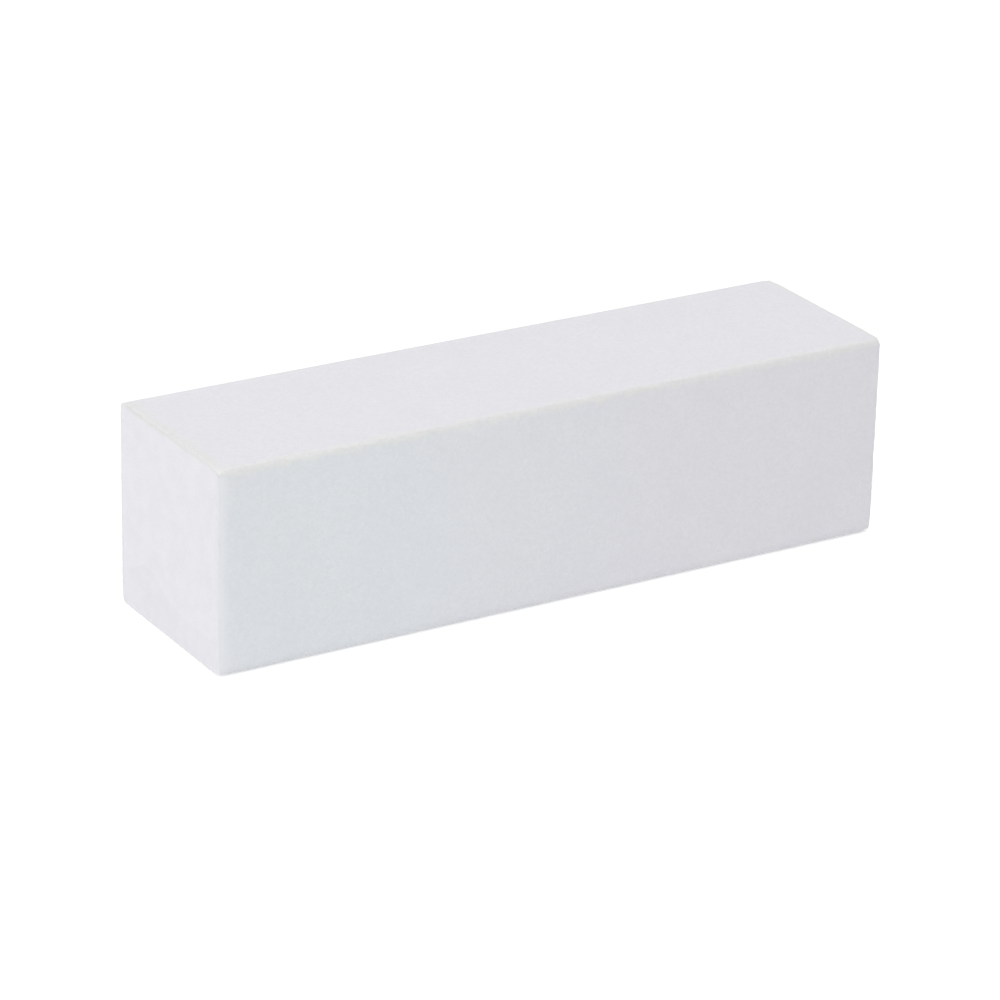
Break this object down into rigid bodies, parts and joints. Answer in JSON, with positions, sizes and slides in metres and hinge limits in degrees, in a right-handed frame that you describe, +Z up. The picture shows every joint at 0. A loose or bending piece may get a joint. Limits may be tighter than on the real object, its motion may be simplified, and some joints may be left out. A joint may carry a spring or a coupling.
{
  "type": "nail buffer block",
  "caption": "Hand-held block of white foam with an abrasive grit coat on its long sides, for shaping and buffing nails.",
  "frame": {"origin": "centre of the underside, the face that the block rests on", "axes": "+X along the block from its near end to its far end, +Y from the front side to the back side, +Z up to the top side"},
  "size_m": [0.095, 0.026, 0.0268],
  "materials": {
    "foam": "white closed-cell foam, cut smooth, matte",
    "bond_resin": "cream resin bond coat, matte",
    "abrasive": "fine white abrasive grit in a cool white size coat, matte and grainy"
  },
  "bodies": {
    "root": {"foam_core": "foam", "bond_coat_top": "bond_resin", "bond_coat_front": "bond_resin", "bond_coat_bottom": "bond_resin", "bond_coat_back": "bond_resin", "grit_coat_top": "abrasive", "grit_coat_front": "abrasive", "grit_coat_bottom": "abrasive", "grit_coat_back": "abrasive"}
  },
  "joints": []
}
